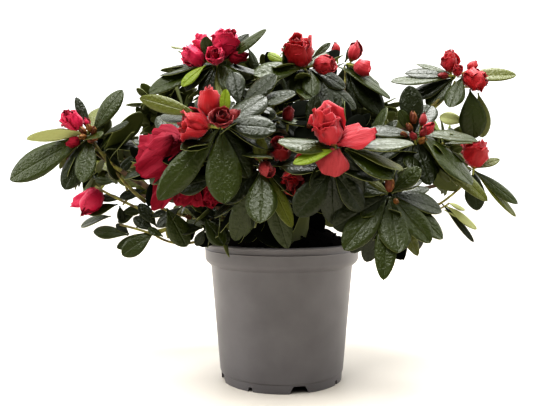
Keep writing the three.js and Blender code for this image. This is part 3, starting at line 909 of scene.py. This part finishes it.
lay_spray("top_right", (-10, 2, 14), (75, 10), [
    (-10, 8, 20, 6, 15, O), (-22, 12, 50, 9, 32, G, (-9, -4, -3)), (-31, 4, 36, 10, 30, G),
    (-55, 12, 50, 20, 62, D), (64, 8, 17, 6, 66, G, (-1, 0, -1)), (-70, 16, 38, 14, 60, D),
    (200, -20, 30, 13, 30, D), (-100, 0, 34, 15, 55, D), (-42, -20, 40, 14, 40, D),
], [
    ((-7, -1, 4), 98, 5, 16, 0, RED), ((4, -1, 0), 72, 5, 22, 0.06, CORAL),
    ((5, -5, -3), -18, 14, 18, 0.25, RED),
])
lay_spray("front_right", (7, -8, -7), (110, 45), [
    (173, 12, 39, 12, 38, G), (197, 18, 28, 7, 54, Y, (-3, -5, 0)), (8, 12, 41, 13, 28, G),
    (-8, -4, 40, 14, 25, O), (14, -16, 36, 14, 18, G), (-30, 10, 34, 14, 45, G), (-70, -10, 34, 15, 60, D),
    (150, -30, 34, 14, 60, S), (60, -30, 26, 12, 60, S),
], [
    ((-5, -2, 1), 114, 18, 29, 0.42, CORAL),
], [
    ((-4, -3, 4), 40, 10, 19, 15, 46, CORAL), ((-4, -5, 3), 18, 14, 25, 15, 60, CORAL),
    ((-5, -6, 0), -102, 20, 18, 21, 80, FADED),
])
lay_spray("front_right", (0, -8, -20), (-130, 10), [
    (-128, 14, 34, 22, 84, D), (-50, -5, 32, 15, 60, D), (-85, -20, 34, 16, 60, D), (0, -10, 32, 14, 40, D),
    (170, -10, 30, 14, 40, D),
])
lay_spray("right", (-13, 0, 1), (80, 30), [
    (96, 5, 36, 18, 72, D), (122, 10, 21, 9, 66, G), (6, 8, 44, 10, 28, G),
    (-43, 14, 50, 18, 30, G, (1, -8, 2)), (-39, 5, 69, 13, 50, O), (172, 8, 34, 10, 35, D),
    (188, 2, 33, 10, 40, G), (160, -10, 28, 10, 30, D), (-46, -15, 52, 22, -30, O, (0, 0, 4)),
    (-75, 22, 34, 16, 70, D), (-120, 18, 34, 14, 66, D), (60, -30, 30, 14, 30, D), (205, 12, 34, 12, 50, D),
], [
    ((4, -3, 7), 80, 15, 13, 0, CORAL), ((5, -5, 1), 52, 30, 14, 0.1, RED),
    ((3, -6, -1), 70, 40, 12, 0.05, DEEP), ((-1, -5, -3), 120, 40, 11, 0, DEEP),
    ((-1, -2, 9), 98, 10, 11, 0, SCALE), ((2, -6, -5), 40, 50, 9, 0, CALYX),
    ((-3, -3, 3), 118, 20, 9, 0, SCALE), ((-6, -2, 0), 150, 20, 7, 0, SCALE),
])
lay_spray("right_top", (0, 0, 12), (90, 20), [
    (170, 0, 41, 12, 44, D), (183, 8, 54, 10, 30, G), (202, 4, 41, 12, 44, D), (149, -20, 33, 7, 36, G),
    (88, 0, 12, 5, 60, O, (-2, 2, 5)), (3, 4, 49, 12, 50, O), (-118, 25, 28, 26, 36, G, (4, -8, 0)),
    (-140, 12, 32, 14, 55, G),
], [
    ((-4, -1, 3), 98, 5, 21, 0.4, RED), ((-1, -5, 1), 80, 60, 14, 0.35, RED),
    ((-6, -3, 1), 180, 10, 12, 0.08, DEEP), ((4, -4, 3), -30, 20, 26, 0.5, RED),
    ((11, 0, 4), 55, 5, 13, 0.15, RED),
])
lay_spray("right_top", (13, 0, 1), (-70, 10), [
    (-84, 6, 42, 24, 76, G, (-2, -4, 2)), (-76, -6, 40, 16, 56, O, (7, 4, 0)),
    (166, -5, 22, 16, 76, P, (-3, -2, -27)),
])
lay_spray("right_tip", (-11, 0, 4), (60, 15), [
    (23, 5, 22, 6, 40, O), (-44, 4, 52, 9, 44, O), (-37, 6, 45, 11, 60, G), (-85, 15, 32, 20, 70, D),
    (-150, 10, 26, 12, 50, D), (-60, -20, 30, 14, 40, D),
], [
    ((0, -3, 0), 88, 14, 27, 0.45, RED),
])
lay_spray("right_low", (3, 0, 8), (20, 10), [
    (-47, 5, 43, 6, 50, D, (2, 0, 4)), (-20, 5, 14, 5, 40, P, (4, 0, -2)),
])
lay_spray("right_low", (8, 0, 10), (-20, 10), [
    (-34, 8, 33, 8, 55, P), (-20, 0, 16, 5, 40, P, (2, 0, 2)),
])
lay_spray("front_low_right", (2, 0, 11), (85, 50), [
    (162, 14, 26, 13, 50, G), (170, 0, 21, 10, 40, G), (140, 5, 15, 9, 50, O), (44, 12, 24, 11, 42, G),
    (30, -4, 22, 10, 30, D), (-152, 22, 39, 20, 80, D), (-135, 24, 43, 16, 54, G),
    (-124, -4, 45, 15, 60, D), (-114, -10, 43, 15, 62, D), (-86, 30, 34, 20, 70, G),
    (-98, 28, 49, 13, 52, G), (-48, 22, 36, 15, 56, G), (-35, 12, 42, 13, 46, G), (-56, -14, 43, 18, 62, D),
    (-73, -8, 43, 11, 50, Y), (-64, -2, 43, 11, 50, O), (-14, -10, 36, 16, 40, D),
], [
    ((-1, -5, 2), 92, 20, 12, 0, SCALE), ((2, -7, -3), -60, 60, 6, 0, CALYX),
])
lay_spray("front_middle", (5, 0, 20), (80, 55), [
    (-92, 30, 33, 21, 58, G, (0, -4, 0)), (-112, 0, 52, 19, 84, G), (-63, 12, 41, 11, 60, O),
    (-73, -6, 55, 16, 68, G), (-140, 0, 34, 15, 60, D), (-30, 0, 32, 14, 50, D), (160, 0, 28, 13, 30, D),
    (20, -10, 30, 14, 30, D),
], [
    ((-1, -6, 3), -48, 45, 15, 0.2, FADED), ((-3, -5, 5), 110, 30, 9, 0, SCALE),
    ((1, -5, 5), 60, 40, 8, 0, CALYX), ((14, 3, 5), 110, 40, 20, 0.5, DEEP),
    ((21, 3, -2), -110, 40, 19, 0.5, RED), ((22, 5, 4), 20, 50, 18, 0.4, DEEP),
])
lay_spray("front_low_left", (-19, 0, 10), (150, 30), [
    (-60, 15, 31, 17, 68, G, (-13, 0, 0)), (-150, 5, 24, 10, 50, D), (-20, 0, 28, 15, 66, D),
    (110, -10, 22, 11, 40, G),
])
lay_spray("front_low_left", (-7, 0, -3), (170, 20), [
    (181, 10, 18, 9, 60, D, (3, 0, -3)), (-30, 8, 20, 10, 50, D),
])
lay_spray("front_low_left", (2, -4, 3), (60, 30), [
    (-52, 20, 24, 16, 72, G, (-6, 0, 0)), (-60, 14, 22, 17, 70, D), (20, 5, 24, 11, 40, D),
    (100, -5, 24, 12, 40, D), (-120, 5, 14, 8, 60, D, (-4, 0, -8)),
])

# The bare green shoots that show between the leaves: the mass, where each starts, is pulled to and ends,
# and how thick it is.
SHOOTS = [
    ("left_tip", (-108, -18, 144), (-122, -30, 156), (-144, -42, 192), 1.7),
    ("left_low", (-104, -6, 134), (-124, -6, 140), (-152, -4, 156), 1.2),
    ("left_low", (-68, -10, 130), (-88, -10, 134), (-110, -8, 144), 1.3),
    ("left_spray", (-64, -12, 113), (-84, -12, 106), (-101, -10, 116), 1.0),
    ("left_spray", (-100, -10, 116), (-112, -11, 121), (-131, -8, 125), 0.9),
    ("right_low", (112, 14, 131), (134, 12, 140), (152, 12, 159), 1.0),
    ("right_low", (114, 14, 130), (132, 16, 136), (142, 26, 141), 0.8),
]

# How many freely grown twigs each mass has as well, and how far up from its middle they are moved.
# Masses with laid sprays keep theirs to the back, and have none unless they are named here.
FREE_TWIGS = {
    "left_tip": (1, 0), "left_bloom": (4, 0), "front_left": (7, 0), "top_left": (6, -3),
    "top_middle": (6, -3), "middle": (6, 0), "front_middle": (4, 0), "front_right": (6, 0),
    "front_low_right": (5, 0), "right": (3, -14), "front_low_left": (3, 0), "back_left_top": (8, -2),
    "back_right_top": (8, -2), "far_right": (7, -2),
}
FREE_FLOWER_ODDS = 0.4
HEART_REACH = 100  # how far to the side the whorls go whose front-facing leaves are near-black painted shade

masses = [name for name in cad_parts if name.startswith("foliage_")]
crown_heart = FORK + [0, 0, 10]
bloom_piles = {"front": Pile(), "back": Pile()}
piles = {"twigs": Pile(), "stalks": Pile()}
leaf_piles = {}

for order, node in enumerate(sorted(masses)):
    mass = node.removeprefix("foliage_")
    dice = np.random.default_rng([5, order])
    low, high = (np.array(corner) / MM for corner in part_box(node))
    middle, half = room = (low + high) / 2, (high - low) / 2
    tip, way, thick = min(limb_tips, key=lambda limb: np.linalg.norm((limb[0] - middle) / half))
    leaf_piles[mass] = piles["leaves"] = Pile()
    piles["blooms"] = bloom_piles["front" if middle[1] < 0 else "back"]
    node_end = tip + way * min(half) * 0.25
    add_twig(piles["twigs"], tip - way * 2, tip + way * 2, node_end, thick, thick * 0.8)

    laid = sprays.get(mass, [])
    count, lift = FREE_TWIGS.get(mass, (0 if laid else 9, 0))
    for offset, (angle, lean), leaves, flowers, loose_petals in laid:
        place = middle + np.array(offset)
        axis = aimed(angle, lean)
        grown_twig(piles, dice, room, node_end, way, place - axis * 3, axis, min(thick, LAID_TWIG),
                   count > 0)
        for leaf in leaves:
            laid_leaf(piles["leaves"], dice, place, *leaf)
        for shift, petal_angle, petal_lean, length, width, facing, colour in loose_petals:
            along = aimed(petal_angle, petal_lean)
            points = loose_petal_points(fine_petal_shape, dice, place + np.array(shift), along,
                                        facing_front(along, facing), length, width,
                                        dice.uniform(-0.6, 0.2), dice.uniform(0.1, 0.7), 0.04, 0.045)
            piles["blooms"].add(fine_petal_shape, points, colour)
        for shift, flower_angle, flower_lean, size, openness, colour in flowers:
            flower_axis = aimed(flower_angle, flower_lean)
            if colour in (SCALE, CALYX):
                add_scales(piles, dice, place + np.array(shift), flower_axis, size, colour)
            else:
                add_bloom(piles, dice, place + np.array(shift), flower_axis, size, openness, colour,
                          fine_petal_shape if size > LARGE_FLOWER else petal_shape)

    for holder, *line, shoot_thick in SHOOTS:
        if holder == mass:
            add_twig(piles["twigs"], *map(np.array, line), shoot_thick, 0.9)

    outward = unit(middle - crown_heart)
    for index in range(count):
        spread = math.acos(1 - SPREAD * (index + 0.5) / count)
        side = unit(np.cross(outward, UP))
        over = np.cross(side, outward)
        turn = index * GOLDEN_ANGLE + dice.random()
        out = unit(math.cos(spread) * outward + math.sin(spread) * (
            math.cos(turn) * side + math.sin(turn) * over) + 0.12 * UP)
        full = out
        if laid:
            out = unit(out * [1, 0.5, 0.8] + [0, 0.75, -0.1])
        place = middle + out * half * dice.uniform(0.42, 0.6) + lift * UP
        axis = unit(0.45 * full + 0.7 * outward + 0.45 * UP)
        grown_twig(piles, dice, room, node_end, way, place, axis, min(thick, FREE_TWIG))
        grown_whorl(piles["leaves"], dice, room, place, axis, int(dice.integers(*WHORL_LEAVES)),
                    dice.uniform(34, 43), bool(laid) and abs(middle[0]) < HEART_REACH)
        flowering = dice.random() < FREE_FLOWER_ODDS
        if flowering and not laid and lift == 0 and out[1] > 0.25:
            shade = RED if middle[0] > -20 else MAGENTA
            for _ in range(int(dice.integers(2, 4))):
                tilt = unit(axis + 0.6 * dice.normal(size=3) * [1, 1, 0.6])
                add_bloom(piles, dice, place + tilt * 3, tilt, dice.uniform(15, 27),
                          dice.uniform(0.05, 0.6), shade)
        elif dice.random() < 0.5:
            add_scales(piles, dice, place + axis, axis, 6, SCALE)

# The twigs that fill the heart of the crown, out from the limbs: the middle of each group, half its
# sizes and how many twigs it has.
HEART_TWIGS = [
    ((-34, 20, 204), (64, 40, 9), 14), ((-60, 8, 170), (24, 46, 32), 10),
    ((72, 20, 176), (22, 46, 30), 10),
    ((30, -48, 166), (34, 20, 26), 8),
]
HEART_ROOM = np.array([48, 48, 48])
leaf_piles["heart"] = piles["leaves"] = Pile()
for order, (middle, half, count) in enumerate(HEART_TWIGS):
    dice = np.random.default_rng([7, order])
    for index in range(count):
        turn = index * GOLDEN_ANGLE
        height = 1 - 2 * (index + 0.5) / count
        out = np.array([math.cos(turn), math.sin(turn), height])
        place = np.array(middle) + out * half * dice.uniform(0.6, 1)
        start = min(limb_places, key=lambda spot: np.linalg.norm(spot + 16 * UP - place))
        axis = unit(out * [0.4, 0.6, 0.2] + 0.3 * unit(place - crown_heart) + 0.55 * UP)
        room = place, HEART_ROOM
        grown_twig(piles, dice, room, start, unit(place - start), place, axis, 1.4)
        # True: most front-facing leaves here take the near-black painted-shade finish.
        grown_whorl(piles["leaves"], dice, room, place, axis, int(dice.integers(*WHORL_LEAVES)),
                    dice.uniform(32, 42), True)

for mass, pile in leaf_piles.items():
    leaves = pile.made(f"leaves_{mass}", LEAF_FINISHES, sharp=[RIM])
    if mass != "heart":
        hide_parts(f"foliage_{mass}")
    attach(leaves, "root")

for side_name, pile in bloom_piles.items():
    blooms = pile.made(f"blooms_and_buds_{side_name}", PETAL_FINISHES)
    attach(blooms, "root")

twig_bark = finish_of("green-brown twig", (104, 98, 48), 0.6)
blotches(twig_bark, 6, 4, [(0.35, (72, 58, 34)), (0.65, (132, 128, 62))])
grained(twig_bark, 1200, 4, 0.25)
twigs = piles["twigs"].made("twigs", [twig_bark])
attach(twigs, "root")

stalk_skin = finish_of("flower stalk", (136, 138, 70), 0.6)
stalks = piles["stalks"].made("flower_stalks", [stalk_skin])
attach(stalks, "root")

# ---- Room ----
# A plain pale floor and a white room, lit softly from above and behind, with the camera level with the
# middle of the crown.

FLOOR_SIZE = 6000
FRONT_LIGHT = 0.04
BACK_LIGHT = 1.55
CROWN_MIDDLE = (0, 0, 170)
floor_mesh = bmesh.new()
bmesh.ops.create_grid(floor_mesh, x_segments=1, y_segments=1, size=FLOOR_SIZE / 2)
floor_paint = finish_of("pale floor", (206, 200, 190), 0.6)
floor = made("floor", floor_mesh, floor_paint)

world = bpy.data.worlds.new("white room")
bpy.context.scene.world = world
world.use_nodes = True
LIGHT_FROM = (0, 0.55, 0.84)
where = add_node(world, "ShaderNodeTexCoord").outputs["Generated"]
height = add_node(world, "ShaderNodeVectorMath", [(0, where), (1, LIGHT_FROM)], operation="DOT_PRODUCT")
strength = add_node(world, "ShaderNodeMapRange", [("Value", height.outputs["Value"])], From_Min=-0.35,
                    From_Max=0.7, To_Min=FRONT_LIGHT, To_Max=BACK_LIGHT,
                    interpolation_type="SMOOTHSTEP")
WHITE = (1, 1, 1, 1)
room_light = world.node_tree.nodes["Background"]
room_light.inputs["Color"].default_value = WHITE
world.node_tree.links.new(strength.outputs[0], room_light.inputs["Strength"])
room_seen = add_node(world, "ShaderNodeBackground", Color=WHITE, Strength=1.05)
seen = add_node(world, "ShaderNodeLightPath").outputs["Is Camera Ray"]
mixed = add_node(world, "ShaderNodeMixShader",
                 [(0, seen), (1, room_light.outputs[0]), (2, room_seen.outputs[0])])
world.node_tree.links.new(mixed.outputs[0], world.node_tree.nodes["World Output"].inputs["Surface"])


def soft_light(name, place, size, power):
    """A square lamp aimed at the middle of the crown."""
    data = bpy.data.lights.new(name, "AREA")
    data.energy = power
    data.size = size * MM
    lamp = placed(name, data)
    lamp.location = Vector(place) * MM
    lamp.rotation_euler = (Vector(CROWN_MIDDLE) - Vector(place)).to_track_quat("-Z", "Y").to_euler()


soft_light("overhead softbox", (150, 200, 1100), 500, 10)
soft_light("front softbox", (-250, -700, 1250), 600, 13)
soft_light("left window", (-1300, -200, 700), 700, 6)
soft_light("right window", (1300, 200, 600), 700, 2)

bpy.context.scene.view_settings.view_transform = "Standard"
bpy.context.scene.view_settings.look = "High Contrast"

camera_data = bpy.data.cameras.new("camera")
camera_data.sensor_width = 36
camera_data.lens = 45.73
CAMERA_DOWN = 0.0371
CAMERA_TURN = 0.0224
camera = placed("camera", camera_data)
camera.location = (0, -0.5526, 0.1629)
camera.rotation_euler = (math.pi / 2 - CAMERA_DOWN, 0, CAMERA_TURN)
bpy.context.scene.camera = camera
